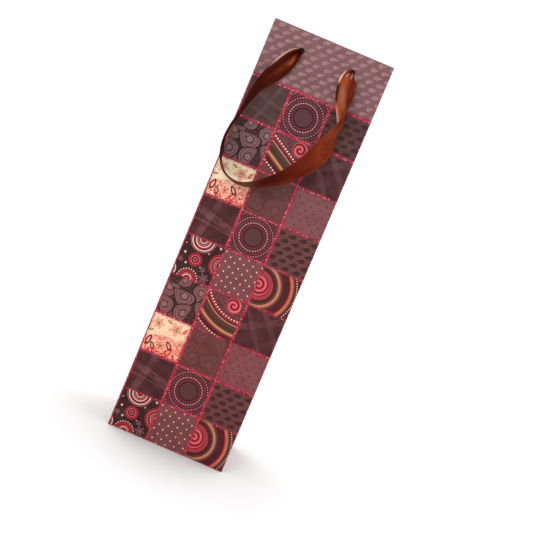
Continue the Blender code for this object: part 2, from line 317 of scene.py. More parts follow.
def knot_lines(mirror):
    """An overhand knot's middle points, directions across, widths and bulges.

    The ribbon comes through the hole along +Y, makes the knot and hangs down inside as a tail.
    """
    rows = list(KNOT_START)
    for step in range(KNOT_STEPS + 1):
        turn = radians(step * 360 / KNOT_STEPS)
        t = radians(KNOT_START_ANGLE + step * 360 / KNOT_STEPS)
        spread = mix(-1.5, 2.3, ease(0, 1, step / KNOT_STEPS)) * cos(turn / 2) ** 2
        right = (sin(t) + 2 * sin(2 * t)) * KNOT_SCALE
        up = (cos(t) - 2 * cos(2 * t)) * KNOT_SCALE
        into = KNOT_MIDDLE - sin(3 * t) * KNOT_DEPTH_SCALE + spread
        rows.append((right, into, up, KNOT_WIDTH))
    fine = refined([*rows, *KNOT_TAIL], 4)
    place = Vector((HOLE_X * mirror, -HALF_DEPTH + FRONT_ROLL, HOLE_Z))
    middles = [(place + Vector((x * mirror, y, z))) * MM for x, y, z, _ in fine]
    acrosses, across = [], -X
    for i in range(len(fine)):
        flat = ease(len(fine) - 24, len(fine) - 4, i)
        across = (across * (1 - flat) - X * flat * mirror).normalized()
        across = square_to(direction(middles, i), across)
        acrosses.append(across)
    return middles, acrosses, [row[3] for row in fine], [0] * len(fine)


knots = []
for side in ("front", "back"):
    for hand, mirror in (("left", -1), ("right", 1)):
        lines = knot_lines(mirror)
        if side == "back":
            # Names are as seen from the front, and the half turn swaps the sides.
            lines, hand = half_turn(lines), "right" if hand == "left" else "left"
        knot = ribbon_piece(f"{side}_{hand}_ribbon_knot", *lines, KNOT_SEED + mirror)
        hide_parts(f"{side}_{hand}_knot")
        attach(knot, "bag")
        knots.append(knot)

# ---- drawing with nodes ----


def linear(colour):
    """A screen colour, such as "#ff8000", as the linear one that a shader takes."""
    parts = [int(colour[k : k + 2], 16) / 255 for k in (1, 3, 5)]
    return (*(v / 12.92 if v <= 0.04045 else ((v + 0.055) / 1.055) ** 2.4 for v in parts), 1)


def feed(tree, value, slot):
    """Joins a wire or socket to a slot, or sets the slot to a number or a screen colour."""
    if isinstance(value, Wire):
        value = value.socket
    if isinstance(value, str):
        value = linear(value)
    if isinstance(value, bpy.types.NodeSocket):
        tree.links.new(value, slot)
    else:
        slot.default_value = value


def add_node(tree, kind, inputs, **settings):
    """A new shader node. inputs says what each of its slots gets, by name or place."""
    node = tree.nodes.new("ShaderNode" + kind)
    for name, value in settings.items():
        setattr(node, name, value)
    for slot, value in inputs.items():
        feed(tree, value, node.inputs[slot])
    return node


class Wire:
    """A number on its way through a material: arithmetic on it adds Math nodes."""

    def __init__(self, tree, socket):
        self.tree, self.socket = tree, socket

    def math(self, operation, *others, first=None):
        inputs = dict(enumerate((self if first is None else first, *others)))
        return Wire(self.tree, add_node(self.tree, "Math", inputs, operation=operation).outputs[0])

    def __rsub__(self, other):
        return self.math("SUBTRACT", self, first=other)

    def smooth(self, low, high):
        """0 at low and 1 at high, smoothly; low may be the greater."""
        inputs = {"Value": self, "From Min": low, "From Max": high}
        node = add_node(self.tree, "MapRange", inputs, interpolation_type="SMOOTHSTEP")
        return Wire(self.tree, node.outputs["Result"])


# angle is that of a point whose height is the wire and whose distance to the right is given.
for name, operation in {
    "__add__": "ADD", "__radd__": "ADD", "__sub__": "SUBTRACT", "__mul__": "MULTIPLY",
    "__rmul__": "MULTIPLY", "__truediv__": "DIVIDE", "__abs__": "ABSOLUTE", "sin": "SINE",
    "cos": "COSINE", "root": "SQRT", "fract": "FRACT", "floor": "FLOOR", "least": "MINIMUM",
    "most": "MAXIMUM", "angle": "ARCTAN2",
}.items():
    setattr(Wire, name, partialmethod(Wire.math, operation))


class Drawing:
    """A material being drawn, on one or two of its piece's UV maps.

    x and y are mm on the first map and u and v on the last: from the patch's middle and on the
    sheet, or across and along a ribbon.
    """

    def __init__(self, name, ground, *maps):
        self.material = bpy.data.materials.new(name)
        self.material.use_nodes = True
        self.tree = self.material.node_tree
        self.colour = ground
        if maps:
            places = [self.uv(name) for name in maps]
            (self.x, self.y), (self.u, self.v) = places[0], places[-1]

    def uv(self, name):
        node = add_node(self.tree, "UVMap", {}, uv_map=name)
        split = add_node(self.tree, "SeparateXYZ", {0: node.outputs["UV"]})
        return [Wire(self.tree, split.outputs[axis]) for axis in ("X", "Y")]

    def texture(self, point, scale, detail):
        inputs = {"Vector": point, "Scale": scale, "Detail": detail}
        return Wire(self.tree, add_node(self.tree, "TexNoise", inputs).outputs["Fac"])

    def noise(self, size, seed=0, detail=2, stretch=(1, 1), place=None):
        """Smooth noise about 0.5, with features of that size in mm."""
        right, down = place or (self.u, self.v)
        x, y = right * (1 / (size * stretch[0])), down * (1 / (size * stretch[1]))
        point = add_node(self.tree, "CombineXYZ", {"X": x, "Y": y, "Z": seed})
        return self.texture(point.outputs[0], 1, detail)

    def cloud(self, size, seed, low, high):
        return self.noise(size, seed).smooth(low, high)

    def grain(self, scale, detail, stretch=(1, 1, 1)):
        """Noise by the place on the object, with that many features in a metre."""
        place = add_node(self.tree, "TexCoord", {}).outputs["Object"]
        mapping = add_node(self.tree, "Mapping", {"Vector": place, "Scale": stretch})
        return self.texture(mapping.outputs[0], scale, detail)

    def paint(self, colour, mask, blend="MIX"):
        """Lays a colour over what is there so far, where the mask is 1."""
        inputs = {"Factor": mask, 6: self.colour, 7: colour}  # 6 and 7 are its two colours
        node = add_node(self.tree, "Mix", inputs, data_type="RGBA", blend_type=blend)
        self.colour = node.outputs[2]

    def finished(self, height=None, depth=0, **values):
        """The material, with its shader's values and a relief of depth mm where height is 1."""
        if height:
            inputs = {"Distance": depth * MM, "Height": height}
            values["Normal"] = add_node(self.tree, "Bump", inputs).outputs["Normal"]
        shader = self.tree.nodes["Principled BSDF"]
        for name, value in {"Base_Color": self.colour, **values}.items():
            feed(self.tree, value, shader.inputs[name.replace("_", " ")])
        return self.material


BLUR = 0.14  # how soft the print's edges are, in mm


def turned(x, y, degrees):
    """Coordinates along and across a direction that many degrees anticlockwise of rightwards."""
    c, s = cos(radians(degrees)), sin(radians(degrees))
    return x * c + y * s, y * c - x * s


def distance(x, y):
    return (x * x + y * y).root()


def disc(away, radius, blur=BLUR):
    return away.smooth(radius + blur, radius - blur)


def line(away, width, blur=BLUR):
    return abs(away).smooth(width / 2 + blur, width / 2 - blur)


def beads(away, angle, radius, count, size, width=None):
    """Dots round a circle: away is the distance from its middle."""
    pitch = tau * radius / count
    along = ((angle * (count / tau)).fract() - 0.5) * pitch
    return disc(distance(along * (size / (width or size)), away - radius), size)


def bead_row(along, across, pitch, size):
    return disc(distance(((along / pitch).fract() - 0.5) * pitch, across), size)


def cells(x, y, pitch_x, pitch_y):
    """Coordinates about the middle of each cell of a grid whose odd rows are half a cell on."""
    row = (y / pitch_y).floor()
    odd = (row * 0.5).fract() * 2
    across = (x + odd * (0.5 * pitch_x)) / pitch_x
    return (across.fract() - 0.5) * pitch_x, ((y / pitch_y).fract() - 0.5) * pitch_y


def drop(a, b, length, width, point=0.45, blur=0.16):
    """A drop that points along a."""
    along = a * (2 / length)
    side = (b * (2 / width)) / (1 - along * point)
    return (along * along + side * side).smooth(1 + blur, 1 - blur)


def comma(x, y, size, angle, bend):
    """0 in the middle of a round-bodied comma shape and 1 on its outline, size mm long."""
    a, b = turned(x, y, angle)
    a, b = a * (2 / size), b * (2 / size)
    tail = (a + 1).most(0)
    b = b - tail * tail * (bend * 0.3) + bend * 0.12
    side = b * 1.22 / (1 - a * 0.5).most(0.16)
    return (a * a + side * side).root()


def rosette(x, y, radius, petals, depth, phase=0):
    """0 in the middle of a flower and 1 on its outline."""
    wave = (y.angle(x) * petals + phase).cos() * depth + (1 - depth)
    return distance(x, y) / (wave * radius)


# ---- the patchwork print ----

BAND = 45.8
ROWS = 9
PATCH_HEIGHT = (RIM - BAND) / ROWS
PATCH_WIDTH = 2 * HALF_WIDTH / 3
HALF_PATCH = (PATCH_WIDTH / 2, PATCH_HEIGHT / 2)
THREAD, THREAD_SPACING = 0.36, 1.45
SASH = 18  # from the one row of beads to the other

RED, CRIMSON, PINK = "#ba2638", "#741826", "#da7076"
DARK, MAROON, MAUVE_BROWN = "#3a1a1c", "#581e26", "#704244"
TAN, OLIVE, BEAD = "#be8a6c", "#563c2e", "#f8e2d4"


def shaded(name, ground, shade, size, seed, strength, low=0.35, high=0.7):
    """A print's drawing, with its ground and a cloudy shade on it."""
    d = Drawing("print_" + name, ground, "patch", "sheet")
    d.paint(shade, d.cloud(size, seed, low, high) * strength)
    return d


def stitched(d, edge, strength):
    """The rough red seam printed along an edge, which may be worn away here and there."""
    edge = edge + (d.noise(2.6, 20, 3) - 0.5) * 1.8
    patchy = d.cloud(6, 29, 0.36, 0.5)
    kept = patchy * (1 - strength) + strength if strength > 0.5 else patchy * strength * 1.6
    d.paint("#882034", edge.smooth(1.6, 1) * kept)
    d.paint("#ca3e5a", edge.smooth(1.4, 0.7) * d.cloud(1.6, 23, 0.42, 0.6) * kept)
    d.paint("#ee9a9c", edge.smooth(1.1, 0.5) * d.noise(1.3, 27, 1).smooth(0.58, 0.68) * kept)


def band():
    d = shaded("band", "#825a5c", "#764e52", 22, 1, 0.6, 0.4, 0.75)
    drift = (d.noise(7, 2, 1) - 0.5) * 3.4
    a, b = turned(*cells(d.u + drift, d.v + drift * 0.4, 9.3, 4.9), -20)
    ragged = (d.noise(1.4, 3) - 0.5) * 1.7
    brush = drop(a + 0.3 + ragged * 0.6, b + ragged, 6.8, 2.7, 0.66, 0.5)
    d.paint("#a88182", brush * (d.cloud(2.4, 6, 0.3, 0.62) * 0.5 + 0.42))
    d.paint("#ac7a8a", brush * d.noise(11, 12, 1).smooth(0.52, 0.66) * 0.5)
    d.paint("#885e63", line(b + ragged, 0.35, 0.2) * drop(a - 0.6, b, 3.2, 2) * 0.5)
    stitched(d, BAND - d.v, 0.85)
    return d


def plaid(d, thread, bundles, strength):
    """Bundles of thin lines, worn away here and there: each its angle, offset and count."""
    for step, (angle, offset, count) in enumerate(bundles):
        seed = step * 3.7
        along, across = turned(d.x, d.y, angle)
        across = across - offset + (d.noise(14, seed + 1.3, 1) - 0.5) * 0.8
        inside = line(across, count * THREAD_SPACING, 0.1)
        place = ((across / THREAD_SPACING + count / 2).fract() - 0.5) * THREAD_SPACING
        worn = d.noise(5, seed + 4.1, 2, (2, 1), (along, across)).smooth(0.34, 0.6)
        d.paint(thread, inside * line(place, THREAD) * (worn * 0.75 + 0.25) * strength)


def leaves(d, mark, length, width, pitch_x, pitch_y, tilt, strength):
    a, b = turned(*cells(d.x + 0.4, d.y + 0.6, pitch_x, pitch_y), tilt)
    ragged = (d.noise(1.3, 7) - 0.5) * 0.8
    d.paint(mark, drop(a * -1, b + ragged, length, width, 0.55, 0.3) * strength)


def polka(d):
    a, b = cells(*turned(d.x, d.y, 12), 7.5, 4)
    d.paint("#fae0ce", disc(distance(a, b), 0.6))


def dot_circles(d):
    away, angle = distance(d.x, d.y), d.y.angle(d.x)
    d.paint("#36141b", line(away - 7.9, 1.5))
    d.paint("#583638", disc(away + (d.noise(3, 4) - 0.5) * 0.9, 7, 0.3))
    d.paint("#b0344a", line(away - 8.75, 0.42) * 0.85)
    for radius, count, size, colour, strength in (
        (11.3, 34, 0.52, "#d0aca8", 0.95), (13.4, 40, 0.46, "#b83a4e", 0.9),
        (15.6, 46, 0.46, "#c49c9a", 0.9), (17.8, 52, 0.44, "#b43e50", 0.8),
        (20, 62, 0.44, "#ba8c8c", 0.75),
    ):
        d.paint(colour, beads(away, angle, radius, count, size, size * 1.15) * strength)


def scrolls(d, body, dark, light, strength, *shapes):
    """Round commas with a ring inside their edge and a small flower in the middle."""
    for step, (x, y, size, angle, bend) in enumerate(shapes):
        dx, dy = d.x - x, d.y - y
        f = comma(dx, dy, size, angle, bend)
        flower = rosette(dx, dy, size * 0.17, 5, 0.26, step * 1.7)
        for colour, mask in (
            (dark, f.smooth(1.22, 1.12)),
            (body, f.smooth(1.04, 0.97)),
            (dark, line(f - 0.8, 0.07, 0.035)),
            (dark, f.smooth(0.62, 0.55) * 0.45),
            (dark, line(flower - 1.25, 0.3, 0.08)),
            (light, flower.smooth(1, 0.86) * 0.8),
            (dark, flower.smooth(0.4, 0.28)),
        ):
            d.paint(colour, mask * strength)


def dark_paisley(d, *looks):
    a, b = cells(d.x, d.y, 4.2, 3.6)
    d.paint("#6e4a4e", disc(distance(a, b), 0.5) * 0.7)
    scrolls(d, *looks)


def stripes(d, t, *bands):
    """Bands side by side: each is (where it starts, its colour) as t grows."""
    for start, colour in bands:
        d.paint(colour, t.smooth(start - BLUR, start + BLUR))


def sash(d, t, along, along_far):
    """The striped sash between two rows of beads; t is 0 on the first row, SASH on the second."""
    stripes(
        d, t, (-1.3, CRIMSON), (1.1, RED), (1.9, MAROON), (3.5, TAN), (4.5, MAROON), (5.3, OLIVE),
        (7.4, "#4a2e28"), (9.4, OLIVE), (10.9, "#c8966a"), (12.4, "#a85c38"), (13.4, CRIMSON),
        (14.7, DARK), (16.6, CRIMSON), (19.3, MAUVE_BROWN),
    )
    d.paint(BEAD, bead_row(along, t, 2.5, 0.68))
    d.paint(BEAD, bead_row(along_far, t - SASH, 2.6, 0.68))


def swirl(d, x, y, radius, turns=1.7):
    """A round head that winds inwards."""
    dx, dy = d.x - x, d.y - y
    away, angle = distance(dx, dy), dy.angle(dx)
    inside = disc(away, radius)
    d.paint(DARK, disc(away, radius + 0.7))
    d.paint(RED, inside)
    wound = (away * (turns / radius) - angle / tau).fract() - 0.5
    d.paint(PINK, line(wound, 0.42, 0.06) * inside)
    d.paint("#5c1220", line(abs(wound) - 0.43, 0.14, 0.05) * inside)
    d.paint(PINK, line(away - radius, 0.5) * 0.8)


def diagonal_bands(d):
    along, across = turned(d.x, d.y, -31)
    sash(d, 3.6 - across, along, along)
    swirl(d, 7.4, 9.6, 6)


def curved_arcs(d):
    dx, dy, radius = d.x - 13.2, d.y - 32.9, 33
    angle = dx.angle(dy * -1)
    sash(d, distance(dx, dy) - radius, angle * radius, angle * (radius + SASH))
    swirl(d, 7, 10.8, 6.2)


def spiral(d):
    dx, dy = d.x + 14.9, d.y - 0.7
    away, angle = distance(dx, dy), dy.angle(dx)
    away = away + (angle * 2).sin() * 0.5
    stripes(
        d, away, (0, CRIMSON), (12.8, DARK), (14.2, OLIVE), (15.4, MAROON), (16, TAN),
        (18, "#aa5442"), (18.7, OLIVE), (20.2, "#4a1820"), (25.4, RED), (26.3, "#be7652"),
        (28.4, OLIVE), (29.8, MAROON),
    )
    dashes = line((angle * (44 / tau)).fract() - 0.5, 0.46, 0.08)
    d.paint("#d66070", dashes * line(away - 10.9, 2.2) * 0.9)
    d.paint(RED, line(away - 9.3, 0.7))
    swirl(d, -14.9, 0.7, 8.6, 2.3)
    d.paint(BEAD, bead_row(angle * 31, away - 31.2, 2, 0.45))


def cream_flowers(d):
    red, rust, green = "#ce2a32", "#b25c4a", "#969660"
    maroon, ground = "#7c0e18", "#fed6ae"
    away = distance(d.x - 1, d.y + 22)
    wavy = away - 20.4 + (d.noise(3, 9) - 0.5) * 2.4
    aslant = d.x - d.y
    # Fine curling tendrils: the level lines of a cloud.
    tendrils = line(d.noise(5, 64, 1) - 0.5, 0.07, 0.02)
    d.paint("#f4a48e", line(wavy, 3.6, 0.8) * d.cloud(2.6, 62, 0.34, 0.54) * 0.9)
    d.paint("#f8baa4", away.smooth(19.6, 17) * d.cloud(3.4, 63, 0.4, 0.6) * 0.8)
    d.paint(red, tendrils * away.smooth(23.4, 21.6) * d.cloud(7, 65, 0.42, 0.52) * 0.8)
    d.paint(red, d.cloud(2.6, 66, 0.5, 0.56) * d.y.smooth(-9, -13) * 0.9)
    d.paint("#e2544e", beads(away, (d.y + 22).angle(d.x - 1), 22.4, 76, 0.34))
    d.paint("#f29278", d.cloud(4, 6, 0.44, 0.56) * aslant.smooth(7, 20) * 0.9)
    d.paint(red, d.cloud(2.4, 16, 0.54, 0.6) * aslant.smooth(10, 24))
    flowers = (
        (-9.8, 8.4, 4.6, 6, rust), (5.6, 8.6, 5.2, 5, red), (-1.6, -8.4, 5.6, 5, red),
        (12.4, -1.6, 3.6, 6, red),
    )
    for step, (x, y, radius, petals, ink) in enumerate(flowers):
        f = rosette(d.x - x, d.y - y, radius, petals, 0.2, step * 1.3)
        d.paint(ground, f.smooth(1, 0.9) * 0.8)
        d.paint(ink, line(f - 1, 0.13, 0.05) * 0.9)
        d.paint(ink, line(f - 0.58, 0.13, 0.05) * 0.9)
        d.paint(ink, f.smooth(0.6, 0.46) * d.cloud(1.1, 18, 0.42, 0.56) * 0.75)
        d.paint(green if step % 2 else rust, f.smooth(0.3, 0.22))
    for x, y, angle, size, ink in (
        (-12.4, -7, 78, 9, maroon), (-8, -10.6, 118, 6.4, maroon), (6, -11, 58, 8, red),
        (4.6, -6, 128, 8, maroon), (-1.4, 12.6, 160, 4.6, green), (12.8, 9.6, 70, 5, red),
        (-13.4, 1.4, 20, 4.2, green), (-4.8, -14.2, 10, 5.6, red), (3.4, -14.4, 170, 5.6, red),
    ):
        a, b = turned(d.x - x, d.y - y, angle)
        d.paint(ink, drop(a, b, size, size * 0.5, 0.2))
        d.paint("#fed8b4", drop(a, b, size * 0.62, size * 0.2, 0.2))
        d.paint("#a01e2c", line(b, 0.34) * drop(a, b, size * 0.7, size * 0.3))
    a, b = cells(d.x, d.y, 4.6, 4.1)
    d.paint(red, disc(distance(a, b), 0.36) * d.cloud(7, 4, 0.5, 0.55))
    inner = (abs(d.x) - (HALF_PATCH[0] - 2.2)).most(abs(d.y) - (HALF_PATCH[1] - 2.2))
    dotted = ((d.x + d.y) / 1.7).fract().smooth(0.4, 0.55)
    d.paint("#ce4a42", line(inner, 0.55) * (dotted * 0.85 + 0.1))


def ring_medallions(d):
    red, pink, white = "#b02434", "#d46870", "#f0d4cc"
    mauve, black = "#8a6268", "#2c1418"
    for x, y, radius, petals in ((9.4, -12.4, 4.2, 6), (6.4, -6.6, 2.6, 5), (-13.4, -4.2, 2.6, 5)):
        f = rosette(d.x - x, d.y - y, radius, petals, 0.24)
        d.paint(mauve, f.smooth(1.05, 0.92) * 0.85)
        d.paint(black, line(f - 0.55, 0.16, 0.05))
    # Each medallion's middle, its heart's radius and its rings from the outermost inwards: their
    # radius, width, colour and, for a ring of beads, their count.
    for x, y, heart, *rings in (
        (
            -1.6, 16.6, 1.4, (10.4, 0.5, pink), (8.9, 1, white), (7.2, 0.6, red),
            (6, 0.9, white), (4.4, 0.8, pink), (2.8, 0.8, white),
        ),
        (-2.2, -0.8, 0.7, (4.9, 1.3, red), (3.4, 0.8, pink), (2.2, 0.5, black), (1.5, 0.7, pink)),
        (
            18.4, 1.8, 2, (9, 1.1, red), (7.5, 0.9, pink), (6.2, 0.6, red),
            (5, 0.8, white, 24), (3.6, 0.8, pink),
        ),
        (
            -3, -17.4, 2.2, (8.2, 1.15, white, 24), (6.3, 1.6, red), (4.6, 0.7, pink),
            (3.4, 0.8, white),
        ),
        (-20, -14.6, 3, (6, 0.9, white), (4.4, 0.8, pink)),
    ):
        dx, dy = d.x - x, d.y - y
        away, angle = distance(dx, dy), dy.angle(dx)
        d.paint(black, disc(away, rings[0][0] + 0.9))
        for radius, width, colour, *count in rings:
            dots = count and beads(away, angle, radius, *count, width / 2)
            d.paint(colour, dots or line(away - radius, width))
        d.paint(red, disc(away, heart))
    for x, y, size in ((-11.9, 2.2, 0.95), (-8.4, -5.6, 0.9), (13.6, 15, 0.9), (6.4, 7.6, 0.55),
                       (-13.6, 9.4, 0.5), (3.8, -5.2, 0.5)):
        d.paint(white, disc(distance(d.x - x, d.y - y), size))


def printed(d):
    """Finishes a printed material: painted shade towards the bottom, the ink's own unevenness and
    the paper's semi-gloss film.
    """
    # Painted shade: darker and redder towards the bottom, standing in for the sheen's haze, which
    # lightens the upper part more.
    d.paint("#ffd8d6", d.v.smooth(60, 260) * 0.75, "MULTIPLY")
    ink = d.noise(0.9, 31, 3)
    d.paint((0.62, 0.62, 0.62, 1), ink.smooth(0.35, 0.75) * 0.16, "MULTIPLY")
    (corner, end), (upright, slant) = d.uv("edges"), d.uv("folds")
    fold = upright.least(abs(slant))
    crease = corner.least(fold + 0.15)
    rubbed = d.noise(1.1, 39, 3, (1, 2.2)).smooth(0.5, 0.62) * crease.smooth(0.9, 0.3)
    worn_end = d.noise(1.1, 40, 3, (2.2, 1)).smooth(0.5, 0.62) * end.smooth(0.9, 0.2)
    rubbed = rubbed.most(worn_end)
    d.paint("#d6bab4", rubbed * 0.5)
    wave, grain = d.noise(26, 35, 1), d.noise(0.7, 37)
    return d.finished(
        wave * 0.92 + grain * 0.08 - fold.smooth(0.7, 0) * 0.4, 0.3,
        Roughness=d.noise(30, 33) * 0.1 + rubbed * 0.2 + 0.36,
        Specular_IOR_Level=0.16, Coat_Weight=0.03, Coat_Roughness=0.2,
    )


# Each motif: its ground, what its shade is like, how strong the seams at its sides and ends are,
# and what draws the rest and with what.
MOTIFS = {
    "dull_plaid": (
        "#543a37", ("#4a302f", 9, 2, 0.8), (0.7, 0.8),
        plaid, "#8c6e6a", ((70, -3.5, 2), (-16, 3, 2), (-12, -8.5, 2)), 0.7,
    ),
    "dark_plaid": (
        "#522b2d", ("#3e1c21", 9, 2, 0.8), (0.45, 0.4),
        plaid, "#9e7070", ((29, 5.2, 4), (-57, -4.5, 3), (-52, 9, 3)), 0.66,
    ),
    "wine_plaid": (
        "#522a2c", ("#3a171d", 9, 2, 0.8), (0.9, 0.35),
        plaid, "#b07c7c", ((77, 4.6, 4), (-15, 1.2, 4), (-6, -4.6, 1)), 0.72,
    ),
    "dot_circles": ("#54262c", ("#421c22", 7, 3, 0.7), (0.95, 0.75), dot_circles),
    "dark_drops": (
        "#5c3a38", ("#503030", 8, 5, 0.7), (0.7, 0.7),
        leaves, "#361c1e", 6.4, 3.2, 9, 5.1, 12, 0.85,
    ),
    "dark_paisley": (
        "#3a1f21", ("#624142", 1.7, 17, 0.6, 0.52, 0.6), (0.7, 0.5),
        dark_paisley, "#8a6564", "#30171a", "#b89694", 1,
        (-4.6, -16.6, 8.6, 0, 0.5), (-3, 14.4, 10.6, 200, 0.5), (15.8, -3.4, 10.6, 250, 0.5),
        (-12.6, 5, 13.6, 60, -0.55), (12.6, 9.8, 12.6, 300, -0.55), (-11.6, -9.4, 14, 160, -0.55),
        (1, 2.6, 15.4, 130, 0.6), (4.8, -10.8, 14.6, 25, 0.6),
    ),
    "diagonal_bands": (
        MAUVE_BROWN, ("#582c30", 2.4, 12, 0.7, 0.48, 0.56), (0.7, 0.6), diagonal_bands,
    ),
    "curved_arcs": (MAUVE_BROWN, ("#58282e", 2.4, 13, 0.7, 0.48, 0.56), (0.6, 0.3), curved_arcs),
    "cream_flowers": ("#ffeec8", ("#fddeb2", 7, 8, 0.6, 0.45, 0.75), (0.8, 0.9), cream_flowers),
    "faded_scrolls": (
        "#6c403e", ("#5c3031", 9, 7, 0.8), (0.8, 0.5),
        scrolls, "#764c49", "#562c2e", "#845c58", 0.62,
        (-8.4, -5.6, 14, 75, 0.5), (7.8, 10, 13, 190, -0.5), (7.4, -7.4, 17, 300, 0.55),
        (-6.6, 11.4, 10, 20, 0.5), (14.6, 1.8, 8, 120, 0.4),
    ),
    "ticks": (
        "#825255", ("#78464c", 8, 5, 0.7), (0.8, 0.6),
        leaves, "#582c34", 2, 1.2, 7.6, 4.5, -30, 0.85,
    ),
    "olive_leaves": (
        "#6a4240", ("#603a36", 8, 5, 0.7), (0.8, 0.45),
        leaves, "#3a1c1f", 6.8, 3.2, 9.2, 5.1, 14, 0.9,
    ),
    "ring_medallions": ("#341a1c", ("#422a24", 4, 15, 0.8, 0.5, 0.62), (0.5, 0.2), ring_medallions),
    "polka": ("#7e4e51", ("#704046", 9, 11, 0.7), (0.5, 0.4), polka),
    "spiral": (MAROON, ("#3e1a1a", 5, 14, 0.7, 0.4, 0.7), (0.45, 0.25), spiral),
}
LOWER_ROWS = (
    ("cream_flowers", "faded_scrolls", "ticks"),
    ("wine_plaid", "dot_circles", "olive_leaves"),
    ("ring_medallions", "polka", "spiral"),
)
ROW_MOTIFS = (
    ("dull_plaid", "dot_circles", "dark_drops"),
    ("dark_paisley", "diagonal_bands", "dark_plaid"),
    *LOWER_ROWS,
    ("dark_paisley", "curved_arcs", "dark_plaid"),
    *LOWER_ROWS,
)


def patch_print(name, ground, shade, seams, draw, *looks):
    d = shaded(name, ground, *shade)
    draw(d, *looks)
    stitched(d, HALF_PATCH[1] - abs(d.y), seams[1])
    # The outermost seam at a wall's right corner is printed on the next wall.
    at_corner = d.u.smooth(HALF_WIDTH - 4, HALF_WIDTH - 3)
    stitched(d, HALF_PATCH[0] - abs(d.x) + at_corner * 9, seams[0])
    return printed(d)


def white_paper():
    d = Drawing("white_paper", "#f0eee9", "sheet")
    d.paint("#dedbd4", d.noise(1.6, 41, 4, (1, 2.4)).smooth(0.4, 0.75) * 0.6)
    return d.finished(d.noise(0.8, 43, 3), 0.04, Roughness=0.82, Specular_IOR_Level=0.25)


PRINT_SLOTS = [printed(band())]
PRINT_SLOTS += [patch_print(name, *looks) for name, looks in MOTIFS.items()]
PRINT_SLOTS += [white_paper()]
SLOT_OF = {name: place for place, name in enumerate(MOTIFS, 1)}
WHITE = len(PRINT_SLOTS) - 1

# ---- walls ----

PAPER = 0.35
CREASE_RADIUS = 0.6
HEM_CREASE_RADIUS = 0.2
FOOT = 0.5  # the radius of the crease between a wall and its flap
RIM_RADIUS = 0.7
GUSSET_TUCK = 1  # how far a gusset's middle crease is pulled in
GLUED_HEM = 0.85  # how far inside the outer face the hem is below its card
CARD_SLOPE = (CARD_LOW - 1.9, CARD_LOW - 0.3)  # between these heights it rises over the card
FLAP_MITRE = 12
FLAP_SLOPE = 3.5  # how long a flap's slope up over another one is
NO_FOLD = 99
HOLE_MARGIN = 1.2
HOLE_RINGS = (0.55, 1)
CELL = 2.6  # how wide the mesh's columns are
HEM_LEVELS = (318, 321, 324, 327.4, 341.5, 344.5, 347.2)
UPPER_LINES = (2.8, 5.4, 7.9, *(24.5 + 3.05 * k for k in range(7)))


def arc(radius, path):
    """How far a quarter circle has gone aside and onwards after some of its path."""
    turn = path / radius
    return radius * (1 - cos(turn)), radius * sin(turn)


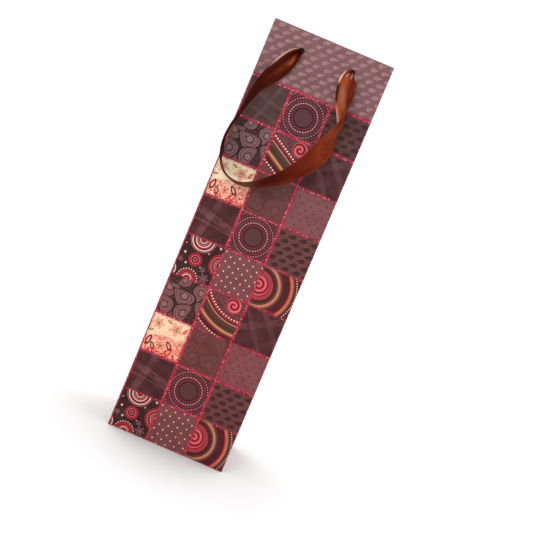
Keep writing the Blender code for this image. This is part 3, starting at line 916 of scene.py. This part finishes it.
class Wall:
    """One wall of the bag with its turned-in hem and its bottom flap, as a single folded sheet.

    out is where it faces, slope where on its flap it rises over another one and how far, seam the
    u of its first inner seam, and rows its motifs from the top down. half is its half width, face
    its distance from the bag's middle, and roll and side_roll how far its own hem and those beside
    it stand inside their outer faces.
    """

    def __init__(self, out, slope, seam, rows):
        self.out, self.right = out, Z.cross(out)
        self.is_gusset = out.x != 0
        way = -1 if self.is_gusset else 1
        self.half, self.face = (HALF_WIDTH, HALF_DEPTH)[::way]
        self.roll, self.side_roll = (FRONT_ROLL, SIDE_ROLL)[::way]
        self.flap = SIDE_FLAP if self.is_gusset else LONG_FLAP
        self.slope, self.rows = slope, rows
        self.seams = (seam, seam + PATCH_WIDTH)
        self.over = min(RIM_RADIUS, self.roll / 2)
        self.rim_length = pi * self.over + self.roll - 2 * self.over
        self.arc = CREASE_RADIUS * pi / 4

    def hem_v(self, z):
        """Where on the sheet the hem is at that height."""
        return 2 * self.over - self.rim_length - (RIM - z)

    def profile(self, v):
        """How deep behind the outer face the sheet is at v, and how high."""
        path, quarter = v - RIM + FOOT, FOOT * pi / 2
        if path > quarter:  # the flap
            reach = FOOT + path - quarter
            start, up = self.slope
            return reach, up * ease(start, start + FLAP_SLOPE, reach)
        if path > 0:
            aside, onwards = arc(FOOT, path)
            return aside, FOOT - onwards
        if v >= self.over:
            return 0, RIM - v
        path, quarter = self.over - v, self.over * pi / 2
        level = self.roll - 2 * self.over
        if path < quarter:
            aside, onwards = arc(self.over, path)
            return aside, RIM - self.over + onwards
        if path < quarter + level:
            return self.over + path - quarter, RIM
        if path < self.rim_length:
            aside, onwards = arc(self.over, path - quarter - level)
            return self.roll - self.over + onwards, RIM - aside
        z = RIM - self.over - (path - self.rim_length)
        glued = self.roll if self.is_gusset else GLUED_HEM
        return mix(glued, self.roll, ease(*CARD_SLOPE, z)), z

    def bow(self, u, v, z):
        """How far the paper is drawn in at a point of the outer face."""
        share = u / self.half
        tuck = GUSSET_TUCK if self.is_gusset else 0
        inward = tuck * (1 - sqrt(share * share + 0.0006)) * ease(0, 50, z)
        if v < self.over:
            return inward
        free = ease(4, 60, z) * (1 - ease(CARD_LOW - 50, CARD_LOW - 3, z))
        seed = self.out.x * 3 + self.out.y * 7
        draw = 0.5 + 0.45 * noise.noise((u / 38 + seed, z / 60, seed))
        return inward + free * cos(share * pi / 2) * draw

    def place(self, u, v):
        """Where in space a point of the sheet is."""
        depth, z = self.profile(v)
        on_flap = v > RIM - FOOT
        share = 0 if on_flap else depth / self.roll
        half, face = self.half - self.side_roll * share, self.face - self.roll * share
        radius = mix(CREASE_RADIUS, HEM_CREASE_RADIUS, share)
        flat = self.half - self.arc
        turn = min(1, max(0, abs(u) - flat) / self.arc) * pi / 4
        along = copysign(min(1, abs(u) / flat) * (half - radius) + radius * sin(turn), u)
        out = face - radius + radius * cos(turn)
        if on_flap:
            reach = max(0, depth - FOOT)
            flap_half = self.half - mix(CREASE_RADIUS, 1.7, ease(0, 2, reach))
            flap_half -= FLAP_MITRE * min(1, reach / self.flap)
            along *= flap_half / self.half if reach > 0 else 1
            out = mix(out, face, ease(0, 2, reach)) - depth
        else:
            out -= self.bow(u, v, z)
        point = self.right * along + self.out * out
        return Vector((point.x, point.y, z)) * MM

    def u_lines(self):
        edges = (-self.half, *self.seams, self.half)
        lines = [self.half]
        for a, b in zip(edges, edges[1:]):
            steps = max(3, round((b - a) / CELL))
            lines += [mix(a, b, i / steps) for i in range(steps)]
        flat = self.half - self.arc
        lines = [u for u in lines if abs(u) < flat - 1] + [-flat, flat]
        lines += [s * (flat + self.arc * k / 4) for s in (-1, 1) for k in range(1, 5)]
        if self.is_gusset:
            lines = [u for u in lines if abs(u) > 1.6] + [-1.4, -0.7, 0, 0.7, 1.4]
        return sorted(lines)

    def v_lines(self):
        holes = [HOLE_BELOW + k * HOLE_RADIUS for k in (-2, -1, 0, 1, 2)]
        levels = [HEM_END, HEM_END + 1, *CARD_SLOPE, CARD_LOW - 1.1, CARD_LOW + 2, *HEM_LEVELS]
        lines = [self.hem_v(z) for z in (*levels, *(RIM - v for v in holes))]
        lines += [self.over - self.rim_length * k / 10 for k in range(11)]
        lines += [*UPPER_LINES, *holes]
        lines += [BAND + PATCH_HEIGHT * k / 8 for k in range(8 * ROWS)]
        lines = [v for v in lines if v < RIM - 2.5] + [RIM - 2.5, RIM - 1.2]
        lines += [RIM - FOOT + FOOT * pi / 2 * k / 4 for k in range(5)]
        start, end = lines[-1], RIM - FOOT * (2 - pi / 2) + self.flap
        lines += [mix(start, end, k / 20) for k in range(1, 21)]
        return sorted(set(lines))

    def patch(self, u, v):
        """The middle of the patch that a place on the sheet is in, and its material's slot."""
        if v < BAND:
            return 0, 0, 0
        column = sum(seam <= u for seam in self.seams)
        row = int((v - BAND) / PATCH_HEIGHT)
        # The columns all have the full width on the printed sheet, though a gusset's last is cut.
        middle = self.seams[0] + (column - 0.5) * PATCH_WIDTH
        return middle, BAND + (row + 0.5) * PATCH_HEIGHT, SLOT_OF[self.rows[row][column]]

    def piece(self, name):
        """The wall's mesh object, with its punched holes unless it is a gusset."""
        us, vs = self.u_lines(), self.v_lines()
        bm = bmesh.new()
        # edges is mm from the nearest corner and from an end, and folds mm from a gusset's
        # upright and slanting creases.
        patch, sheet, edges, folds = (
            bm.loops.layers.uv.new(layer) for layer in ("patch", "sheet", "edges", "folds")
        )
        flat = {}  # where each corner of a face is on the sheet

        def corner(u, v):
            vert = bm.verts.new(self.place(u, v))
            flat[vert] = (u, v)
            return vert

        def skin(corners):
            face = bm.faces.new(corners)
            u, v = (sum(flat[vert][k] for vert in corners) / len(corners) for k in (0, 1))
            right, down, face.material_index = self.patch(u, v)
            has_slant = self.is_gusset and v < RIM
            for loop in face.loops:
                u, v = flat[loop.vert]
                inside, above = self.half - abs(u), RIM - v
                loop[patch].uv = (u - right, down - v)
                loop[sheet].uv = (u, v)
                loop[edges].uv = (inside, min(abs(v), abs(above)))
                slant = (inside - above) * sqrt(0.5) if has_slant else NO_FOLD
                loop[folds].uv = (abs(u) if self.is_gusset else NO_FOLD, slant)

        clear = HOLE_RADIUS + HOLE_MARGIN
        windows = []
        for u in () if self.is_gusset else (-HOLE_X, HOLE_X):
            for v in (HOLE_BELOW, self.hem_v(RIM - HOLE_BELOW)):
                a, b = bisect_left(us, u - clear) - 1, bisect_right(us, u + clear)
                c, d = bisect_left(vs, v - clear) - 1, bisect_right(vs, v + clear)
                windows.append((u, v, a, b, c, d))
        grid = {
            (i, k): corner(u, v)
            for i, u in enumerate(us)
            for k, v in enumerate(vs)
            if not any(a < i < b and c < k < d for *_, a, b, c, d in windows)
        }
        for i in range(len(us) - 1):
            for k in range(len(vs) - 1):
                if not any(a <= i < b and c <= k < d for *_, a, b, c, d in windows):
                    skin([grid[i, k + 1], grid[i + 1, k + 1], grid[i + 1, k], grid[i, k]])
        for u, v, a, b, c, d in windows:
            border = [(i, d) for i in range(a, b)] + [(b, k) for k in range(d, c, -1)]
            border += [(i, c) for i in range(b, a, -1)] + [(a, k) for k in range(c, d)]
            rings = [[grid[spot] for spot in border]]
            for share in HOLE_RINGS:
                ring = []
                for vert in rings[0]:
                    x, y = flat[vert][0] - u, flat[vert][1] - v
                    nearer = mix(1, HOLE_RADIUS / hypot(x, y), share)
                    ring.append(corner(u + x * nearer, v + y * nearer))
                rings.append(ring)
            for outer, inner in zip(rings, rings[1:]):
                for k in range(len(outer)):
                    n = (k + 1) % len(outer)
                    skin([outer[k], outer[n], inner[n], inner[k]])
        return thicken(add_piece(name, bm, PRINT_SLOTS), PAPER, -1, backing=WHITE)


PANEL_NODES = ("panel", "top_hem", "bottom_flap")
GUSSET_NODES = ("gusset_front", "gusset_rear", "front_top_hem", "rear_top_hem", "bottom_flap")
for side, *shape in (
    ("front", -Y, (LONG_FLAP - 34, 0.7), -HALF_PATCH[0], ROW_MOTIFS + LOWER_ROWS),
    ("back", Y, (0, 0), -HALF_PATCH[0], ROW_MOTIFS + LOWER_ROWS),
    ("right", X, (0.3, 1.4), PATCH_WIDTH - HALF_DEPTH, ROW_MOTIFS[2:] + ROW_MOTIFS),
    ("left", -X, (0.3, 1.4), HALF_DEPTH - 2 * PATCH_WIDTH, ROW_MOTIFS[6:] + ROW_MOTIFS),
):
    wall = Wall(*shape)
    piece = wall.piece(f"{side}_wall")
    nodes = GUSSET_NODES if wall.is_gusset else PANEL_NODES
    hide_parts(*(f"{side}_{node}" for node in nodes))
    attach(piece, "bag")

# ---- satin ----


def satin(name, ground, painted_shade, painted_highlight, length):
    """Satin ribbon: x is across it and y along it. Along a loop, painted shade and painted
    highlights stand in for its sheen.
    """
    d = Drawing(name, ground, "ribbon")
    # pale is the colour of painted highlights, and dark that of painted shade and shadow.
    x, y, pale, dark = d.x, d.y, "#ecbca0", "#301009"
    streaks = d.noise(0.5, 51, 3, (1, 26))
    if length:
        # Painted shade darkens the loop from its left end to beyond its bottom, more so at the
        # lower left bend, and a painted highlight crosses it near the right end.
        along = y / length + (d.noise(40, 57, 1) - 0.5) * 0.08
        d.paint(painted_shade, along.smooth(0.8, 0.52))
        d.paint("#460c07", line(along - 0.4, 0.32, 0.06) * 0.6)
        d.paint(painted_highlight, line(along - 0.86, 0.22, 0.09) * 0.22)
        # The left end: a painted highlight along its upper edge with a painted shadow beside it,
        # painted shade along its lower edge, a painted glint and a softer painted highlight.
        d.paint(dark, line(x - 4.7, 2.6, 0.7) * y.smooth(36, 14) * 0.85)
        d.paint(pale, x.smooth(6.2, 6.8) * y.smooth(36, 22) * 0.85)
        d.paint("#200806", x.smooth(-4.6, -6.6) * y.smooth(46, 26) * 0.9)
        cloud = d.noise(6, 59, 2, (0.7, 2)).smooth(0.34, 0.52)
        d.paint(painted_highlight, line(y - 16, 8, 3) * line(x + 2.4, 3.8, 1.4) * cloud * 0.9)
        d.paint(painted_highlight, line(y - 26, 8, 5) * line(x + 1.8, 3, 2) * 0.22)
        # The right end, whose edge towards the left end is at x = 8: painted shade and painted
        # highlights where its curled, pleated end turns away from the light and towards it.
        top = y - length
        d.paint(painted_shade, x.smooth(-1, -5) * line(top + 30, 40, 8) * 0.7)
        d.paint(painted_highlight, line(top + 40, 28, 6) * x.smooth(3.2, 6.2) * 0.9)
        d.paint(pale, x.smooth(6.4, 7.2) * line(top + 42, 18, 5) * 0.5)
        d.paint("#cc8462", line(x - 2.6, 5, 2.6) * line(top + 25, 18, 7) * 0.5)
        d.paint(dark, x.smooth(5.2, 6.4) * line(top + 22, 15, 3) * 0.95)
        d.paint(painted_highlight, x.smooth(-2.5, 1) * line(top + 12, 8, 3) * 0.8)
        d.paint("#faceb2", x.smooth(6, 6.7) * line(top + 11, 8, 2) * 0.9)
        # Painted highlights on the pleats' crests at the right end, and painted shade in the folds
        # between pleats at both ends.
        near_end = y.least(length - y).smooth(12, 6)
        pleat = (x * (PLEATS / RIBBON_WIDTH)).fract()
        d.paint("#ffe2d0", near_end * top.smooth(-15, -11) * line(pleat - 0.58, 0.32, 0.08))
        d.paint(dark, near_end * line(pleat - 0.2, 0.18, 0.08) * 0.9)
    # Painted sheen: darker streaks and lighter patches along the satin.
    d.paint(painted_shade, streaks.smooth(0.4, 0.75) * 0.22)
    d.paint(painted_highlight, d.noise(9, 53, 2, (0.8, 3)).smooth(0.5, 0.85) * 0.22)
    selvedge = abs(x).smooth(RIBBON_WIDTH / 2 - 0.8, RIBBON_WIDTH / 2 - 0.45)
    d.paint("#b0684a", selvedge * (0.1 if length else 0.35))
    weft = (y * (tau / 0.36)).sin() * 0.5 + 0.5
    warp = (x * (tau / 0.3) + weft * 1.4).sin() * 0.5 + 0.5
    ribs = (y * (tau / 0.7)).sin() * selvedge * 0.15
    return d.finished(
        warp * 0.35 + weft * 0.2 + streaks * 0.3 + ribs, 0.05,
        Roughness=streaks * 0.12 + 0.33, Metallic=0.12, Anisotropic=0.5,
        Specular_IOR_Level=0.26, Specular_Tint="#ffa068",
    )


# Each ribbon's two faces, with the first one outwards where the left end hangs from its hole.
# The first is coloured darker, as painted shade, and the second lighter, as painted light, for
# the loop's left end hangs in shade and its right end is lit.
for part, length, pieces in (("loop", LOOP_LENGTH, ribbons), ("knot", 0, knots)):
    for face, ground, painted_shade, painted_highlight in (
        ("a", "#6e1f0e", "#440e08", "#ae502c"),
        ("b", "#924020", "#6a2612", "#c87448"),
    ):
        material = satin(f"copper_satin_{part}_{face}", ground, painted_shade, painted_highlight, length)
        for piece in pieces:
            piece.data.materials.append(material)

# ---- boards and the glued tab ----


def board(name, ground, fleck, pale, roughness):
    """Grey board or paper on a CAD part, whose pattern follows its place in space."""
    d = Drawing(name, ground)
    cloud, fibre, speck = d.grain(60, 3), d.grain(700, 4, (1, 0.25, 1)), d.grain(1500, 2)
    d.paint(pale, cloud.smooth(0.4, 0.7) * 0.6)
    d.paint(fleck, fibre.smooth(0.56, 0.72) * 0.55)
    d.paint(fleck, speck.smooth(0.66, 0.72) * 0.5)
    return d.finished(
        fibre * 0.7 + speck * 0.3, 0.05,
        Roughness=cloud * 0.08 + roughness, Specular_IOR_Level=0.25,
    )


for nodes, *look in (
    (("front_hem_card", "back_hem_card"), "grey_board", "#b0a89c", "#7a7064", "#c0bab0", 0.82),
    (("base_board",), "lined_board", "#e2ded6", "#b6aea2", "#ece9e3", 0.7),
    (("side_seam_tab",), "tab_paper", "#eeece7", "#d0cac0", "#f6f5f1", 0.8),
):
    material = board(*look)
    for node in nodes:
        for slot in bpy.data.objects[node].material_slots:
            slot.link = "OBJECT"
            slot.material = material

# ---- studio ----

FLOOR_RADIUS = 1.8
FLOOR_SIDES = 96
FLOOR_BELOW = 0.0002


def sweep():
    """A pale floor that curves up into a backdrop all round, far away."""
    bm = bmesh.new()
    profile = [(r, 0.0) for r in (0.05, 0.2, 0.6, 1.2, FLOOR_RADIUS)]
    angles = [0.131 * k for k in range(1, 13)]
    profile += [(FLOOR_RADIUS + sin(a), 1 - cos(a)) for a in angles]
    profile += [(FLOOR_RADIUS + 1, 1.6), (FLOOR_RADIUS + 1, 3.2)]
    turns = [k * tau / FLOOR_SIDES for k in range(FLOOR_SIDES)]
    rows = [
        [bm.verts.new((radius * cos(a), radius * sin(a), height)) for a in turns]
        for radius, height in profile
    ]
    middle = bm.verts.new((0, 0, 0))
    for k in range(FLOOR_SIDES):
        n = (k + 1) % FLOOR_SIDES
        bm.faces.new((middle, rows[0][k], rows[0][n]))
        for low, high in zip(rows, rows[1:]):
            bm.faces.new((low[k], high[k], high[n], low[n]))
    d = Drawing("studio_white", None)
    d.colour = d.grain(40, 2) * 0.02 + 0.86
    floor = add_piece("studio_sweep", bm, [d.finished(Roughness=0.9, Specular_IOR_Level=0.1)])
    floor.location.z = -FLOOR_BELOW


def soft_light(name, place, aim, size, watts):
    light = bpy.data.lights.new(name, "AREA")
    light.shape = "RECTANGLE"
    light.size, light.size_y = size
    light.energy = watts
    lamp = add_object(name, light)
    lamp.location = place
    lamp.rotation_euler = (Vector(aim) - Vector(place)).to_track_quat("-Z", "Y").to_euler()


sweep()
soft_light("key", (-0.72, -1.9, 1.3), (0, 0, 0.2), (0.9, 0.9), 13.9)
soft_light("overhead", (0.0, 0.9, 2.6), (0, 0.6, 0), (3.0, 3.0), 84)

world = bpy.data.worlds.new("studio")
bpy.context.scene.world = world
world.use_nodes = True
background = world.node_tree.nodes["Background"]
background.inputs["Color"].default_value = (1, 1, 1, 1)
background.inputs["Strength"].default_value = 0.12
bpy.context.scene.view_settings.view_transform = "Standard"
